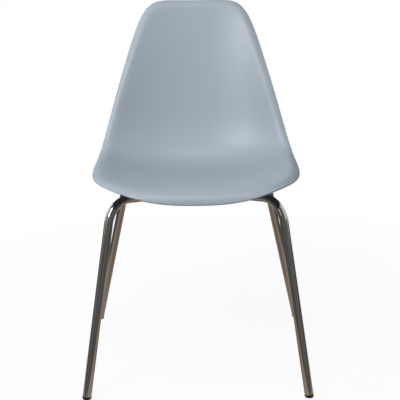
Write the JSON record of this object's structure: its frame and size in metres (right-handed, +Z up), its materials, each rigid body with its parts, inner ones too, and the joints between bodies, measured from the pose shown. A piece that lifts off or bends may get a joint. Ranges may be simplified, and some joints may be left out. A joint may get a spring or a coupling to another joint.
{
  "type": "moulded plastic shell chair",
  "caption": "Armless chair with a doubly curved moulded plastic seat shell on an X-shaped frame of two bent chromed tubes with plug-in foot caps.",
  "frame": {"origin": "on the floor, under the middle of the whole chair's bounding box", "axes": "+X to the right of someone who looks at the chair's front, +Y from the front lip to the back, +Z up; the sitter faces -Y"},
  "size_m": [0.5348, 0.5351, 0.8155],
  "materials": {
    "shell_plastic": "satin, fine texture, light blue-grey",
    "chrome_tube": "bright plated round tube",
    "pad_rubber": "matt black",
    "insert_brass": "turned",
    "cap_plastic": "black, slightly glossy",
    "plated_steel": "zinc plated"
  },
  "bodies": {
    "root": {"seat_shell": "shell_plastic", "front_leg_tube": "chrome_tube", "rear_leg_tube": "chrome_tube", "crossing_plate": "chrome_tube", "mount_tab_front_left": "chrome_tube", "mount_tab_front_right": "chrome_tube", "mount_tab_rear_left": "chrome_tube", "mount_tab_rear_right": "chrome_tube", "rubber_pad_front_left": "pad_rubber", "rubber_pad_front_right": "pad_rubber", "rubber_pad_rear_left": "pad_rubber", "rubber_pad_rear_right": "pad_rubber", "threaded_insert_front_left": "insert_brass", "threaded_insert_front_right": "insert_brass", "threaded_insert_rear_left": "insert_brass", "threaded_insert_rear_right": "insert_brass", "foot_cap_front_left": "cap_plastic", "foot_cap_front_right": "cap_plastic", "foot_cap_rear_left": "cap_plastic", "foot_cap_rear_right": "cap_plastic", "flat_washers": "plated_steel", "lock_washers": "plated_steel", "seat_screws": "plated_steel"}
  },
  "joints": []
}
